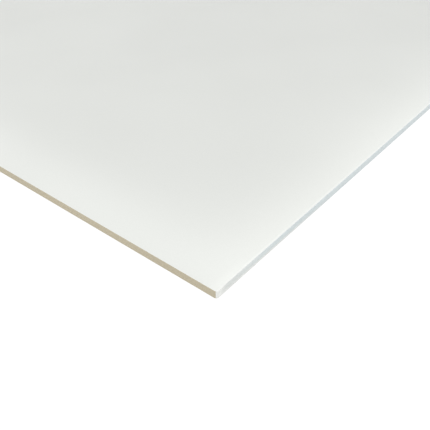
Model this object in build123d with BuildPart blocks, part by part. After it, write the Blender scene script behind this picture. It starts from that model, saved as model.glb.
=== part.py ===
"""A full sheet of solid surfacing, the filled acrylic slab that worktops and wall panels are cut from.

The sheet is cast, calibrated and trimmed as one homogeneous piece: a thin flat slab with square-sawn
edges, its four corners rubbed a little round in plan, and every arris eased so that it doesn't chip.

Millimetres, +Z up. The sheet lies flat with its show face up. The origin is the centre of the back
face, +X runs along the length and +Y across the width.
"""
import os

from build123d import *

# Stock size of the sheet
sheet_length = 2490.0
sheet_width = 760.0
sheet_thickness = 6.0

# Round of the four upright corners, seen from above
corner_radius = 2.0

# Easing of the sharp arrises: the show face is sanded round, the back only loses its saw burr
show_arris_radius = 0.5
back_arris_radius = 0.25

os.makedirs("parts", exist_ok=True)

# The slab: its outline with rounded corners, raised from the back face to the show face
with BuildPart() as sheet:
    with BuildSketch(Plane.XY) as outline:
        Rectangle(sheet_length, sheet_width)
        fillet(outline.vertices(), radius=corner_radius)
    extrude(amount=sheet_thickness)

    # The eased rim runs unbroken round each face, along the sides and through the corners
    show_face = sheet.faces().sort_by(Axis.Z)[-1]
    fillet(show_face.edges(), radius=show_arris_radius)
    back_face = sheet.faces().sort_by(Axis.Z)[0]
    fillet(back_face.edges(), radius=back_arris_radius)

sheet.part.label = "solid_surface_sheet"
export_step(sheet.part, "parts/solid_surface_sheet.step")
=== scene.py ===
"""Dresses a full sheet of solid surfacing that lies flat on a pale floor, and lights it softly.

Metres, +Z up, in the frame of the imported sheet: the origin is the centre of its back face, +X runs
along the length and +Y across the width. The picture looks down on the corner at +X, -Y.
"""
import logging
import math
from dataclasses import dataclass
from enum import Enum, IntEnum
from typing import Protocol

import bmesh
import bpy
from mathutils import Color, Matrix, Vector


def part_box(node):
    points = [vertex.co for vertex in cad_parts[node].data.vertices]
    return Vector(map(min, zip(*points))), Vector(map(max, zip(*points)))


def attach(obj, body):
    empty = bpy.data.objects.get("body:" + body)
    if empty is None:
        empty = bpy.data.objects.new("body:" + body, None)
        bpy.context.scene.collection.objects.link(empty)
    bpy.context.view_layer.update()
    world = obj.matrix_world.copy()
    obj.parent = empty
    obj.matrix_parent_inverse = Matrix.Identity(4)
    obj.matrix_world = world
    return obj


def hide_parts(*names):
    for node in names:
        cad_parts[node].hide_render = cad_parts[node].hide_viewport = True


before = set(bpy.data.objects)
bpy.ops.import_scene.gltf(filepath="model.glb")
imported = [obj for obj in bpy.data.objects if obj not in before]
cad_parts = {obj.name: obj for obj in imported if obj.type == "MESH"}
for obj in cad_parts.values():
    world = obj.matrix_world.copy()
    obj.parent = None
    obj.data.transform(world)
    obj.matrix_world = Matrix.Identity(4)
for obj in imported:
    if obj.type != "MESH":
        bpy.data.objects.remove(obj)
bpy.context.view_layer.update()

log = logging.getLogger("sheet")

NODE = "solid_surface_sheet"
BODY = "root"
PIECE = "surfacing_sheet"

Socket = bpy.types.NodeSocket
Span = tuple[float, float]
Point = tuple[float, float, float]

MM = 0.001
MICRON = 0.000001
FULL_CHANNEL = 255
WHITE = (1.0, 1.0, 1.0, 1.0)
ACRYLIC_IOR = 1.49

# Where most of a noise's values lie
NOISE_MIDDLE: Span = (0.3, 0.7)

# Sockets of a Mix node that mixes colours, by number, because it has others of the same names
MIX_SHARE = 0
MIX_FIRST = 6
MIX_SECOND = 7
MIX_COLOUR = 2


@dataclass(frozen=True)
class Tone:
    """A colour as it reads on a screen.

    Attributes:
        red: Its red, from 0 to 255.
        green: Its green.
        blue: Its blue.
    """

    red: float
    green: float
    blue: float

    def linear(self) -> tuple[float, float, float, float]:
        """The colour in linear light, with an alpha of 1."""
        screen = Color((self.red, self.green, self.blue)) / FULL_CHANNEL
        return (*screen.from_srgb_to_scene_linear(), 1.0)

    def times(self, factor: float) -> "Tone":
        """The colour with every channel times factor."""
        return Tone(self.red * factor, self.green * factor, self.blue * factor)


CAST_WHITE = Tone(226.5, 228.5, 224.5)
# Painted highlight on the rims at the ends, and painted light on the face near the corners.
RIM_HIGHLIGHT = Tone(231, 233, 229)
BACK_WHITE = Tone(222, 223, 218)
# Painted shade: a warm tan on the long sides and a cool grey on the ends.
PAINTED_SHADE_TAN = Tone(197.5, 187.5, 162.5)
PAINTED_SHADE_GREY = Tone(209, 217, 218)
# Painted light on the ends near the corners: a paler grey, a painted reflection of the floor at the foot,
# and a painted highlight on the rounded corner.
CORNER_LIGHT_GREY = Tone(219, 222, 219)
FOOT_FLOOR_REFLECTION = Tone(229, 231, 227)
CORNER_HIGHLIGHT = Tone(241, 242, 238)


class Zone(IntEnum):
    """The surfaces that get materials of their own, in the order of the sheet's materials. The long sides
    and the ends differ in their painted shade.
    """

    SHOW_FACE = 0
    BACK_FACE = 1
    LONG_SIDE = 2
    END = 3


class Run(Enum):
    """The axis that a side of the sheet runs along."""

    LONG_SIDE = "X"
    END = "Y"

    def slanted(self, lean: float) -> Point:
        """The way from one saw mark to the next, where the marks lean by that share of their height."""
        return (1.0, 0.0, lean) if self is Run.LONG_SIDE else (0.0, 1.0, lean)


class Bench:
    """A node tree that is being wired: each method adds nodes and gives the socket to go on with."""

    def __init__(self, owner: bpy.types.Material | bpy.types.World) -> None:
        """Clears the owner's nodes.

        Args:
            owner: The material or world whose nodes are wired.
        """
        owner.use_nodes = True
        self.tree = owner.node_tree
        self.tree.nodes.clear()

    def add(self, kind: str, settings: dict[str, str] | None = None, **values: object) -> bpy.types.Node:
        """Adds a node.

        Args:
            kind: The node's type, such as ShaderNodeTexNoise.
            settings: The node's own options by name.
            **values: What its inputs take, by their names with _ for a space.

        Returns:
            The new node.
        """
        node = self.tree.nodes.new(kind)
        for key, option in (settings or {}).items():
            setattr(node, key, option)
        for key, value in values.items():
            self.feed(node.inputs[key.replace("_", " ")], value)
        return node

    def feed(self, goal: Socket, value: object) -> None:
        """Wires value into the goal where it is a socket, and else sets it there.

        Args:
            goal: The input that takes the value.
            value: A socket, a tone, a number or a vector.
        """
        if isinstance(value, Socket):
            self.tree.links.new(value, goal)
        else:
            goal.default_value = value.linear() if isinstance(value, Tone) else value

    def place(self) -> Socket:
        """Where a point lies on the sheet, in metres."""
        return self.add("ShaderNodeTexCoord").outputs["Object"]

    def axis(self, where: Socket, name: str) -> Socket:
        """The X, Y or Z of a place."""
        return self.add("ShaderNodeSeparateXYZ", Vector=where).outputs[name]

    def reckon(self, operation: str, first: Socket, second: Socket | float = 0.0) -> Socket:
        """Does a sum on numbers.

        Args:
            operation: A Math node's operation.
            first: The first number.
            second: The second number, where the operation takes two.

        Returns:
            The result's socket.
        """
        node = self.add("ShaderNodeMath", {"operation": operation})
        self.feed(node.inputs[0], first)
        self.feed(node.inputs[1], second)
        return node.outputs[0]

    def measure(self, operation: str, first: Socket, second: Socket | Point) -> Socket:
        """Takes a number from two vectors.

        Args:
            operation: A Vector Math node's operation that gives a number.
            first: The first vector.
            second: The second vector.

        Returns:
            The number's socket.
        """
        node = self.add("ShaderNodeVectorMath", {"operation": operation})
        self.feed(node.inputs[0], first)
        self.feed(node.inputs[1], second)
        return node.outputs["Value"]

    def noise(self, where: Socket, per_metre: float, detail: float = 2.0) -> Socket:
        """A noise from 0 to 1 with about per_metre blotches a metre."""
        return self.add("ShaderNodeTexNoise", Vector=where, Scale=per_metre, Detail=detail).outputs["Fac"]

    def eased(self, value: Socket, given: Span, wanted: Span = (0.0, 1.0)) -> Socket:
        """Turns one span of numbers softly into another, and holds its ends beyond it.

        Args:
            value: The number's socket.
            given: The span that it comes in.
            wanted: The span that it goes out in.

        Returns:
            The result's socket.
        """
        return self.add(
            "ShaderNodeMapRange", {"interpolation_type": "SMOOTHSTEP"}, Value=value,
            From_Min=given[0], From_Max=given[1], To_Min=wanted[0], To_Max=wanted[1],
        ).outputs["Result"]

    def nearing(self, where: Socket, axis: str, half_run: float, reaches: Span) -> Socket:
        """Tells how near a point is to either end of the sheet's run along an axis.

        Args:
            where: The place of the point.
            axis: The axis's name.
            half_run: Metres from the middle of the sheet to its ends along that axis.
            reaches: Metres from an end at which the answer has fallen to 0, and up to which it is 1.

        Returns:
            A number from 0 to 1.
        """
        away = self.reckon("ABSOLUTE", self.axis(where, axis))
        faded, full = reaches
        return self.eased(away, (half_run - faded, half_run - full))

    def blotted(self, noise: Socket, wanted: Span = (0.0, 1.0)) -> Socket:
        """A span of numbers spread over the middle of a noise, where most of its values are."""
        return self.eased(noise, NOISE_MIDDLE, wanted)

    def blend(self, share: Socket, first: Socket | Tone, second: Socket | Tone) -> Socket:
        """Mixes two colours.

        Args:
            share: The second colour's share.
            first: The colour at a share of 0.
            second: The colour at a share of 1.

        Returns:
            The mixed colour's socket.
        """
        node = self.add("ShaderNodeMix", {"data_type": "RGBA"})
        self.feed(node.inputs[MIX_SHARE], share)
        self.feed(node.inputs[MIX_FIRST], first)
        self.feed(node.inputs[MIX_SECOND], second)
        return node.outputs[MIX_COLOUR]

    def clouded(self, where: Socket, per_metre: float, tone: Tone, factors: Span) -> Socket:
        """Makes a tone wander in soft clouds.

        Args:
            where: The place of a point.
            per_metre: Clouds a metre.
            tone: The tone.
            factors: What the tone is multiplied by where it is darkest and palest.

        Returns:
            The colour's socket.
        """
        clouds = self.blotted(self.noise(where, per_metre))
        return self.blend(clouds, tone.times(factors[0]), tone.times(factors[1]))

    def relief(self, height: Socket, depth: float) -> Socket:
        """The normal of a relief that is depth metres deep where the height goes from 0 to 1."""
        return self.add("ShaderNodeBump", Height=height, Distance=depth, Strength=1.0).outputs["Normal"]

    def acrylic(self, colour: Socket, roughness: Socket, normal: Socket) -> None:
        """Ends a material in the sheen of filled acrylic.

        Args:
            colour: Its colour.
            roughness: Its roughness.
            normal: The normal of its relief.
        """
        shader = self.add(
            "ShaderNodeBsdfPrincipled",
            Base_Color=colour,
            Roughness=roughness,
            Normal=normal,
            IOR=ACRYLIC_IOR,
        )
        self.add("ShaderNodeOutputMaterial", Surface=shader.outputs[0])

    def shade(self, share: Socket, first: bpy.types.Node, second: bpy.types.Node) -> bpy.types.Node:
        """Mixes two shaders.

        Args:
            share: The second shader's share.
            first: The shader at a share of 0.
            second: The shader at a share of 1.

        Returns:
            The mixed shader's node.
        """
        node = self.add("ShaderNodeMixShader", Fac=share)
        self.feed(node.inputs[1], first.outputs[0])
        self.feed(node.inputs[2], second.outputs[0])
        return node

    def looked_at(self) -> Socket:
        """Tells rays that show a picture from rays that carry light.

        Returns:
            A socket that is 1 for the lens, a reflection or a look through glass, and else 0.
        """
        path = self.add("ShaderNodeLightPath").outputs
        mirrored = self.reckon("MAXIMUM", path["Is Camera Ray"], path["Is Glossy Ray"])
        return self.reckon("MAXIMUM", mirrored, path["Is Transmission Ray"])


def begin_material(name: str) -> tuple[bpy.types.Material, Bench]:
    """Begins a material.

    Args:
        name: The material's name.

    Returns:
        The material and the bench to wire it on.
    """
    material = bpy.data.materials.new(name)
    return material, Bench(material)


class Finish(Protocol):
    """What every finish of the sheet can do."""

    def material(self) -> bpy.types.Material:
        """Makes the finish's material."""


@dataclass(frozen=True)
class SandedFace:
    """The show face: cast white, calibrated and then orbit sanded to a soft satin.

    Attributes:
        tone: Colour of the cast material.
        highlight_tone: Colour of the painted highlight on the rim at the ends.
        half_length: Metres from the middle of the sheet to its ends.
        half_width: Metres from its middle to its long sides.
        highlight_reaches: Metres from an end at which the painted highlight has faded out, and up to which
            it is full.
        corner_reaches: The same for a patch of painted light on the face near a corner, wider but fainter.
        corner_run: Metres from a long side at which that has faded out, and up to which it is full.
        corner_share: How much of the highlight's tone the patch has.
        clouds: Clouds a metre in which the tone wanders.
        cloud_factors: The tone's factors where the clouds are darkest and palest.
        grains: Grains of mineral filler a metre.
        grain_factor: A grain's tone as a share of the cast one.
        grain_share: How much of the grains shows through.
        patches: Patches a metre in which the sanding differs.
        roughness: Lowest and highest roughness of the sanding.
        swirl_spots: Places a metre that the sander circled over.
        swirl_pitch: Metres from one arc of its grit to the next.
        swirl_depth: Metres from the crest of an arc to its floor.
    """

    tone: Tone
    highlight_tone: Tone
    half_length: float
    half_width: float
    highlight_reaches: Span = (2.3 * MM, 0.9 * MM)
    corner_reaches: Span = (9.0 * MM, 2.0 * MM)
    corner_run: Span = (38 * MM, 14 * MM)
    corner_share: float = 0.6
    clouds: float = 5.0
    cloud_factors: Span = (0.994, 1.006)
    grains: float = 1600.0
    grain_factor: float = 0.8
    grain_share: float = 0.06
    patches: float = 15.0
    roughness: Span = (0.40, 0.46)
    swirl_spots: float = 28.0
    swirl_pitch: float = 1.2 * MM
    swirl_depth: float = 1.5 * MICRON

    def material(self) -> bpy.types.Material:
        """Makes the show face's material.

        Returns:
            The material.
        """
        material, bench = begin_material("sanded_show_face_painted_highlight")
        place = bench.place()
        cast = bench.clouded(place, self.clouds, self.tone, self.cloud_factors)
        grains = bench.blotted(bench.noise(place, self.grains), (0.0, self.grain_share))
        filled = bench.blend(grains, cast, self.tone.times(self.grain_factor))
        # Painted highlight along the rims at the ends, and painted light near the corners, over the face's
        # colour.
        colour = bench.blend(self.rim(bench, place), filled, self.highlight_tone)
        roughness = bench.blotted(bench.noise(place, self.patches), self.roughness)
        bench.acrylic(colour, roughness, self.swirls(bench, place))
        return material

    def rim(self, bench: Bench, place: Socket) -> Socket:
        """Finds how far a point takes the painted highlight along the rims at the ends, and the painted
        light near the corners.

        Args:
            bench: The material's bench.
            place: Where the point lies.

        Returns:
            The whitening's share.
        """
        # A thin painted highlight along the rim at each end.
        line = bench.nearing(place, "X", self.half_length, self.highlight_reaches)
        # A wider, fainter patch of painted light on the face near each corner.
        patch = bench.nearing(place, "X", self.half_length, self.corner_reaches)
        at_corner = bench.nearing(place, "Y", self.half_width, self.corner_run)
        soft = bench.reckon("MULTIPLY", bench.reckon("MULTIPLY", patch, at_corner), self.corner_share)
        return bench.reckon("MAXIMUM", line, soft)

    def swirls(self, bench: Bench, place: Socket) -> Socket:
        """Draws fine arcs round scattered spots, as an orbit sander leaves them.

        Args:
            bench: The material's bench.
            place: Where the point lies.

        Returns:
            The normal that carries the arcs.
        """
        spots = bench.add("ShaderNodeTexVoronoi", Vector=place, Scale=self.swirl_spots, Randomness=1.0)
        away = bench.measure("DISTANCE", place, spots.outputs["Position"])
        turns = bench.reckon("MULTIPLY", away, 2 * math.pi / self.swirl_pitch)
        return bench.relief(bench.reckon("SINE", turns), self.swirl_depth)


@dataclass(frozen=True)
class BeltedBack:
    """The back face: left as the wide belt calibrated it, with straight scratches along the sheet.

    Attributes:
        tone: Colour of the face.
        clouds: Clouds a metre in which the tone wanders.
        cloud_factors: The tone's factors where the clouds are darkest and palest.
        scratches: Scratches a metre across their run.
        stretch: How many times longer than wide a scratch is.
        scratch_detail: Detail of their noise, which breaks them up.
        scratch_factor: A scratch's tone as a share of the face's.
        scratch_share: How much of the scratches shows.
        scratch_depth: Metres.
        roughness: Lowest and highest roughness.
    """

    tone: Tone
    clouds: float = 4.0
    cloud_factors: Span = (0.99, 1.005)
    scratches: float = 700.0
    stretch: float = 50.0
    scratch_detail: float = 4.0
    scratch_factor: float = 0.9
    scratch_share: float = 0.08
    scratch_depth: float = 10 * MICRON
    roughness: Span = (0.55, 0.68)

    def material(self) -> bpy.types.Material:
        """Makes the back face's material.

        Returns:
            The material.
        """
        material, bench = begin_material("belted_back_face")
        place = bench.place()
        drawn = bench.add("ShaderNodeMapping", Vector=place, Scale=(1 / self.stretch, 1.0, 1.0))
        scratches = bench.noise(drawn.outputs["Vector"], self.scratches, self.scratch_detail)
        ground = bench.clouded(place, self.clouds, self.tone, self.cloud_factors)
        share = bench.blotted(scratches, (0.0, self.scratch_share))
        colour = bench.blend(share, ground, self.tone.times(self.scratch_factor))
        roughness = bench.blotted(scratches, self.roughness)
        bench.acrylic(colour, roughness, bench.relief(scratches, self.scratch_depth))
        return material


@dataclass(frozen=True)
class PaintedLight:
    """A stretch of painted light on a side, from the corner on.

    Attributes:
        tone: Colour of the painted light.
        reach: Metres from the corner at which it has faded out.
        full_reach: Metres from the corner up to which it is full.
        height: Metres above the back face at which it has faded out, where it is only at the foot. It
            is full up to half of that.
    """

    tone: Tone
    reach: float
    full_reach: float = 0.0
    height: float | None = None

    def share(self, bench: Bench, place: Socket, run: Run, half_run: float) -> Socket:
        """Finds the share of painted light at a point.

        Args:
            bench: The material's bench.
            place: Where the point lies.
            run: The axis that the side runs along.
            half_run: Metres from the middle of the side to its corner.

        Returns:
            The painted light's share.
        """
        share = bench.nearing(place, run.value, half_run, (self.reach, self.full_reach))
        if self.height is None:
            return share
        low_down = bench.eased(bench.axis(place, "Z"), (self.height / 2, self.height), (1.0, 0.0))
        return bench.reckon("MULTIPLY", share, low_down)


@dataclass(frozen=True)
class SawnSide:
    """A side as the panel saw leaves it: matt, with fine leaning saw marks.

    Attributes:
        name: The material's name.
        tone: Colour of the side, darker than the cast white: painted shade.
        run: The axis that the side runs along.
        half_run: Metres from the middle of the side to its corner.
        painted_lights: Stretches of painted light at its corners, each over the ones before it.
        clouds: Clouds a metre in which the tone wanders.
        cloud_factors: The tone's factors where the clouds are darkest and palest.
        pitch: Metres from one saw mark to the next.
        lean: How far the marks lean, as a share of their height.
        mark_factor: A mark's tone as a share of the side's.
        mark_share: How much of the marks shows.
        depth: Metres from a mark's crest to its floor.
        roughness: Lowest and highest roughness.
    """

    name: str
    tone: Tone
    run: Run
    half_run: float
    painted_lights: tuple[PaintedLight, ...] = ()
    clouds: float = 14.0
    cloud_factors: Span = (0.993, 1.006)
    pitch: float = 1.6 * MM
    lean: float = 0.18
    mark_factor: float = 0.93
    mark_share: float = 0.1
    depth: float = 8 * MICRON
    roughness: Span = (0.50, 0.62)

    def material(self) -> bpy.types.Material:
        """Makes the side's material.

        Returns:
            The material.
        """
        material, bench = begin_material(self.name)
        place = bench.place()
        marks = self.saw_marks(bench, place)
        # The side's tone is painted shade, wandering in soft clouds.
        ground = bench.clouded(place, self.clouds, self.tone, self.cloud_factors)
        share = bench.blotted(marks, (0.0, self.mark_share))
        colour = bench.blend(share, ground, self.tone.times(self.mark_factor))
        # Paler stretches of painted light near the corners, laid over the side's colour.
        for light_patch in self.painted_lights:
            light_share = light_patch.share(bench, place, self.run, self.half_run)
            colour = bench.blend(light_share, colour, light_patch.tone)
        bench.acrylic(colour, bench.blotted(marks, self.roughness), bench.relief(marks, self.depth))
        return material

    def saw_marks(self, bench: Bench, place: Socket) -> Socket:
        """Draws uneven marks that follow each other along the side.

        Args:
            bench: The material's bench.
            place: Where the point lies.

        Returns:
            The height of the marks, from 0 to 1.
        """
        along = bench.measure("DOT_PRODUCT", place, self.run.slanted(self.lean))
        line = bench.add("ShaderNodeCombineXYZ", X=along).outputs["Vector"]
        return bench.noise(line, 1 / self.pitch)


@dataclass
class SurfacingSheet:
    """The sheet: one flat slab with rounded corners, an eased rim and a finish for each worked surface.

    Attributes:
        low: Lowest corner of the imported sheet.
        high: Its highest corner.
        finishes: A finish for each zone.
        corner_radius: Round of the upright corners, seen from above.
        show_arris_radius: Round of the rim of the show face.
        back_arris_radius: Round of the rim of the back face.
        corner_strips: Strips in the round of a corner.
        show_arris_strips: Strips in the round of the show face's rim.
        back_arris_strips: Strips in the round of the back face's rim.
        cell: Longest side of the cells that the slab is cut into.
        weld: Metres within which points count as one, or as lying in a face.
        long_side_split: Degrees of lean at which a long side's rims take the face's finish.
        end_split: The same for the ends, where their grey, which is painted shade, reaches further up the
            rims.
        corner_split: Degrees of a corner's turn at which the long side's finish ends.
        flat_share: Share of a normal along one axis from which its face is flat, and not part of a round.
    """

    low: Vector
    high: Vector
    finishes: dict[Zone, Finish]
    corner_radius: float = 2.0 * MM
    show_arris_radius: float = 0.5 * MM
    back_arris_radius: float = 0.25 * MM
    corner_strips: int = 12
    show_arris_strips: int = 8
    back_arris_strips: int = 5
    cell: float = 40.0 * MM
    weld: float = 0.1 * MICRON
    long_side_split: float = 45.0
    end_split: float = 72.0
    corner_split: float = 30.0
    flat_share: float = 0.9999

    @property
    def size(self) -> Vector:
        """Length, width and thickness."""
        return self.high - self.low

    def build(self) -> bpy.types.Object:
        """Models and dresses the slab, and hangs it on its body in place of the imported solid.

        Returns:
            The finished piece.
        """
        slab = bmesh.new()
        bmesh.ops.create_cube(slab, size=1.0)
        bmesh.ops.scale(slab, vec=self.size, verts=slab.verts)
        bmesh.ops.translate(slab, vec=(self.low + self.high) / 2, verts=slab.verts)
        self.round_corners(slab)
        self.ease_rim(slab, self.high.z, self.show_arris_radius, self.show_arris_strips)
        self.ease_rim(slab, self.low.z, self.back_arris_radius, self.back_arris_strips)
        self.cut_cells(slab)
        bmesh.ops.recalc_face_normals(slab, faces=slab.faces)
        self.sort_zones(slab)
        mesh = bpy.data.meshes.new(PIECE)
        slab.to_mesh(mesh)
        slab.free()
        for zone in Zone:
            mesh.materials.append(self.finishes[zone].material())
        piece = bpy.data.objects.new(PIECE, mesh)
        bpy.context.scene.collection.objects.link(piece)
        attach(piece, BODY)
        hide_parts(NODE)
        return piece

    def round_corners(self, slab: bmesh.types.BMesh) -> None:
        """Rounds the four upright edges.

        Args:
            slab: The slab as a square-edged block.
        """
        upright = [e for e in slab.edges if abs(e.verts[0].co.z - e.verts[1].co.z) > self.size.z / 2]
        self.bevel(slab, upright, self.corner_radius, self.corner_strips)

    def ease_rim(self, slab: bmesh.types.BMesh, level: float, radius: float, strips: int) -> None:
        """Rounds the rim that runs unbroken round one face.

        Args:
            slab: The slab with its rounded corners.
            level: Height of the face.
            radius: Radius of its rim.
            strips: Strips in the round.
        """
        rim = [e for e in slab.edges if all(abs(v.co.z - level) < self.weld for v in e.verts)]
        self.bevel(slab, rim, radius, strips)

    @staticmethod
    def bevel(slab: bmesh.types.BMesh, edges: list[bmesh.types.BMEdge], radius: float, strips: int) -> None:
        """Rounds some edges of the slab.

        Args:
            slab: The slab.
            edges: The edges to round.
            radius: Radius of the round.
            strips: Strips in it.
        """
        bmesh.ops.bevel(
            slab, geom=edges, offset=radius, offset_type="OFFSET", segments=strips, profile=0.5,
            affect="EDGES", clamp_overlap=False, material=-1,
        )

    def cut_cells(self, slab: bmesh.types.BMesh) -> None:
        """Cuts the slab into even cells, so that its wide faces don't split into long thin triangles.

        Args:
            slab: The eased slab.
        """
        for across in (Vector((1, 0, 0)), Vector((0, 1, 0))):
            count = math.ceil(self.size.dot(across) / self.cell)
            for number in range(1, count):
                point = self.low + self.size * (number / count)
                whole = slab.verts[:] + slab.edges[:] + slab.faces[:]
                bmesh.ops.bisect_plane(slab, geom=whole, dist=self.weld, plane_co=point, plane_no=across)

    def sort_zones(self, slab: bmesh.types.BMesh) -> None:
        """Gives every face the material of its zone, and smooths the faces of the rounds.

        Args:
            slab: The slab with its cells.
        """
        for face in slab.faces:
            face.material_index = self.zone_of(face.normal)
            face.smooth = max(abs(share) for share in face.normal) < self.flat_share

    def zone_of(self, normal: Vector) -> Zone:
        """Finds the zone of a face, where a rim is shared out between its side and its face.

        Args:
            normal: The way that the face looks.

        Returns:
            The zone.
        """
        turn = math.degrees(math.atan2(abs(normal.x), abs(normal.y)))
        lean = math.degrees(math.asin(min(abs(normal.z), 1.0)))
        on_long_side = turn < self.corner_split
        if lean > (self.long_side_split if on_long_side else self.end_split):
            return Zone.SHOW_FACE if normal.z > 0 else Zone.BACK_FACE
        return Zone.LONG_SIDE if on_long_side else Zone.END


@dataclass(frozen=True)
class Lamp:
    """A flat studio lamp that the lens doesn't see.

    Attributes:
        name: The lamp's name.
        place: Its centre.
        aim: The point that it faces.
        size: Its width and height.
        level: Its radiance, where 1 is the white of the page.
        mirrored: Whether the sheet's gloss shows it.
    """

    name: str
    place: Vector
    aim: Vector
    size: Span
    level: float
    mirrored: bool = True

    def build(self) -> bpy.types.Object:
        """Hangs the lamp.

        Returns:
            The lamp's object.
        """
        light = bpy.data.lights.new(self.name, "AREA")
        light.shape = "RECTANGLE"
        light.size, light.size_y = self.size
        light.energy = self.level * math.pi * self.size[0] * self.size[1]
        lamp = bpy.data.objects.new(self.name, light)
        bpy.context.scene.collection.objects.link(lamp)
        lamp.location = self.place
        lamp.rotation_euler = (self.aim - self.place).to_track_quat("-Z", "Y").to_euler()
        lamp.visible_camera = False
        lamp.visible_glossy = self.mirrored
        return lamp


@dataclass(frozen=True)
class Strip:
    """A narrow lamp along a side of the sheet, close above its rim, with a twin at the other side.

    Attributes:
        name: Start of the two lamps' names.
        level: Radiance, where 1 is the white of the page.
        outside: Metres from the side outwards.
        above: Metres above the show face.
        overrun: Metres past each end of the side, or negative where it stops short.
        width: Metres across.
    """

    name: str
    level: float
    outside: float
    above: float
    overrun: float
    width: float = 30 * MM

    def lamps(self, half_run: float, out: Vector, top: float) -> list[Lamp]:
        """Places the lamp over the side, and its twin.

        Args:
            half_run: Metres from the middle of the side to its ends.
            out: From the middle of the sheet to the side.
            top: Height of the show face.

        Returns:
            The two lamps.
        """
        size = (2 * (half_run + self.overrun), self.width)
        pair = []
        for number, way in enumerate((out, -out), start=1):
            rim = way + Vector((0, 0, top))
            place = rim + way.normalized() * self.outside + Vector((0, 0, self.above))
            pair.append(Lamp(f"{self.name}_{number}", place, rim, size, self.level, mirrored=False))
        return pair


@dataclass
class Studio:
    """A pale floor in an even white room, with a low strip along each side and a soft box above.

    Attributes:
        low: Lowest corner of the sheet.
        high: Its highest corner.
        room_level: How bright the room is as light, where 1 is the white of the page.
        long_strip: The strip along each long side.
        end_strip: The strip along each end.
        box_offset: From the sheet's near corner to the soft box.
        box_aim: From the near corner to the point that the soft box faces.
        box_side: Length of the soft box's sides.
        box_level: Its radiance.
        floor_drop: Metres from the sheet's back face down to the floor.
        floor_reach: Metres from the middle of the floor to its sides.
        floor_grey: How much light the floor throws back.
        clear_reach: Metres that a ray may come from where the floor is clear to it.
        page_share: Share of the floor that shows as the page, while the rest takes the shadow.
        page_level: Brightness of that share.
    """

    low: Vector
    high: Vector
    room_level: float = 0.766
    long_strip: Strip = Strip("long_side_strip", level=0.377, outside=-0.010, above=0.044, overrun=0.100)
    end_strip: Strip = Strip("end_strip", level=0.810, outside=0.022, above=0.045, overrun=-0.013)
    box_offset: Point = (-0.20, -0.36, 1.30)
    box_aim: Point = (-0.3, 0.3, 0.0)
    box_side: float = 0.6
    box_level: float = 3.613
    floor_drop: float = 0.2 * MM
    floor_reach: float = 60.0
    floor_grey: float = 0.9
    clear_reach: float = 1.5 * MM
    page_share: float = 0.75
    page_level: float = 1.13

    @property
    def near_corner(self) -> Vector:
        """The corner of the show face that is nearest to the lens."""
        return Vector((self.high.x, self.low.y, self.high.z))

    def build(self) -> None:
        """Fills the room with light, lays the floor and hangs the lamps."""
        self.fill_room()
        self.lay_floor()
        for lamp in self.lamps():
            lamp.build()
            log.info("lamp %s", lamp.name)

    def lamps(self) -> list[Lamp]:
        """Places the strips and the soft box from the sheet.

        Returns:
            The lamps.
        """
        end, side, top = self.near_corner
        box_place = self.near_corner + Vector(self.box_offset)
        box_aim = self.near_corner + Vector(self.box_aim)
        return [
            *self.long_strip.lamps(abs(end), Vector((0, side, 0)), top),
            *self.end_strip.lamps(abs(side), Vector((end, 0, 0)), top),
            Lamp("soft_box", box_place, box_aim, (self.box_side, self.box_side), self.box_level),
        ]

    def fill_room(self) -> None:
        """Makes an even room that shows as the page and gives light at its own level."""
        world = bpy.data.worlds.new("even_room")
        bpy.context.scene.world = world
        bench = Bench(world)
        light = bench.add("ShaderNodeBackground", Color=WHITE, Strength=self.room_level)
        page = bench.add("ShaderNodeBackground", Color=WHITE, Strength=1.0)
        room = bench.shade(bench.looked_at(), light, page)
        bench.add("ShaderNodeOutputWorld", Surface=room.outputs[0])

    def lay_floor(self) -> None:
        """Lays a wide floor just under the sheet."""
        grid = bmesh.new()
        bmesh.ops.create_grid(grid, x_segments=1, y_segments=1, size=self.floor_reach)
        bmesh.ops.translate(grid, vec=(0.0, 0.0, self.low.z - self.floor_drop), verts=grid.verts)
        mesh = bpy.data.meshes.new("floor")
        grid.to_mesh(mesh)
        grid.free()
        mesh.materials.append(self.floor_paint())
        floor = bpy.data.objects.new("floor", mesh)
        bpy.context.scene.collection.objects.link(floor)

    def floor_paint(self) -> bpy.types.Material:
        """Makes a paint that shows as the page and takes the sheet's shadow.

        It is clear from below and right at the sheet, so that the back face can be seen and has light.

        Returns:
            The material.
        """
        material, bench = begin_material("pale_floor")
        grey = (self.floor_grey, self.floor_grey, self.floor_grey, 1.0)
        paint = bench.add("ShaderNodeBsdfDiffuse", Color=grey)
        page = bench.add("ShaderNodeEmission", Color=WHITE, Strength=self.page_level)
        above = bench.shade(bench.reckon("MULTIPLY", bench.looked_at(), self.page_share), paint, page)
        clear = bench.add("ShaderNodeBsdfTransparent")
        length = bench.add("ShaderNodeLightPath").outputs["Ray Length"]
        at_sheet = bench.reckon("LESS_THAN", length, self.clear_reach)
        below = bench.add("ShaderNodeNewGeometry").outputs["Backfacing"]
        whole = bench.shade(bench.reckon("MAXIMUM", below, at_sheet), above, clear)
        bench.add("ShaderNodeOutputMaterial", Surface=whole.outputs[0])
        return material


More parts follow.
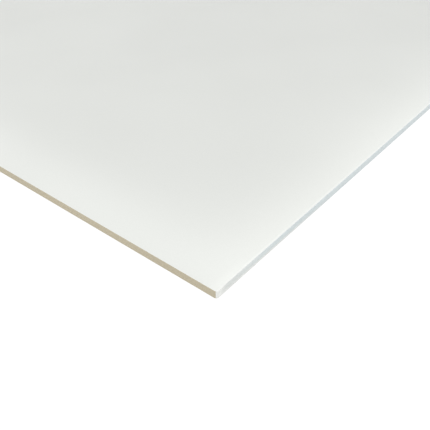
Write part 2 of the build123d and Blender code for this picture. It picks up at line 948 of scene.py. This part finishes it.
@dataclass(frozen=True)
class Viewpoint:
    """The photographer's place, found from the four straight rims that meet at the near corner.

    Attributes:
        corner: The sheet's near corner at the show face.
        thickness: The sheet's thickness.
        stand_off: From the corner to the lens, in thicknesses.
        heading: Degrees from +Y towards -X that the lens looks.
        pitch: Degrees that it looks down.
        focal_pixels: Focal length in pixels of the picture.
        picture_pixels: Width and height of the picture.
        sensor_width: Width of the sensor in the millimetres that a lens is given in.
        nearest: Metres from the lens to the nearest thing that it shows.
    """

    corner: Vector
    thickness: float
    stand_off: Point = (24.13, -29.92, 38.67)
    heading: float = 39.14
    pitch: float = 37.30
    focal_pixels: float = 559.4
    picture_pixels: float = 430.0
    sensor_width: float = 36.0
    nearest: float = 10 * MM

    def build(self) -> bpy.types.Object:
        """Puts up the camera and makes it the scene's.

        Returns:
            The camera's object.
        """
        lens = bpy.data.cameras.new("lens")
        lens.sensor_width = self.sensor_width
        lens.lens = self.sensor_width * self.focal_pixels / self.picture_pixels
        lens.clip_start = self.nearest
        camera = bpy.data.objects.new("lens", lens)
        bpy.context.scene.collection.objects.link(camera)
        camera.location = self.corner + Vector(self.stand_off) * self.thickness
        turn, down = math.radians(self.heading), math.radians(self.pitch)
        level = Vector((-math.sin(turn), math.cos(turn), 0)) * math.cos(down)
        ahead = level - Vector((0, 0, math.sin(down)))
        camera.rotation_euler = ahead.to_track_quat("-Z", "Y").to_euler()
        bpy.context.scene.camera = camera
        return camera


def sheet_finishes(half_length: float, half_width: float) -> dict[Zone, Finish]:
    """Chooses the finish of each surface of the sheet.

    Args:
        half_length: Metres from the middle of the sheet to its ends.
        half_width: Metres from its middle to its long sides.

    Returns:
        A finish for each zone.
    """
    # Painted light on the ends near the corners: a paler grey, a painted reflection of the floor at the
    # foot, and a painted highlight on the rounded corner.
    painted_lights = (
        PaintedLight(CORNER_LIGHT_GREY, reach=70 * MM),
        PaintedLight(FOOT_FLOOR_REFLECTION, reach=160 * MM, full_reach=50 * MM, height=2.2 * MM),
        PaintedLight(CORNER_HIGHLIGHT, reach=11 * MM),
    )
    return {
        Zone.SHOW_FACE: SandedFace(CAST_WHITE, RIM_HIGHLIGHT, half_length, half_width),
        Zone.BACK_FACE: BeltedBack(BACK_WHITE),
        # The long sides' tan and the ends' grey are painted shade.
        Zone.LONG_SIDE: SawnSide("sawn_long_side_painted_shade", PAINTED_SHADE_TAN, Run.LONG_SIDE, half_length),
        Zone.END: SawnSide("sawn_end_painted_shade", PAINTED_SHADE_GREY, Run.END, half_width, painted_lights),
    }


def main() -> None:
    """Builds the sheet, its studio and the camera, and reports each piece."""
    logging.basicConfig(level=logging.INFO, format="%(name)s: %(message)s")
    low, high = (Vector(corner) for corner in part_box(NODE))
    piece = SurfacingSheet(low, high, sheet_finishes(high.x, high.y)).build()
    log.info("%s: %d faces in %d finishes", piece.name, len(piece.data.polygons), len(piece.data.materials))
    studio = Studio(low, high)
    studio.build()
    camera = Viewpoint(studio.near_corner, high.z - low.z).build()
    log.info("camera at %.3f, %.3f, %.3f", *camera.location)
    bpy.context.scene.view_settings.view_transform = "Standard"


if __name__ == "__main__":
    main()
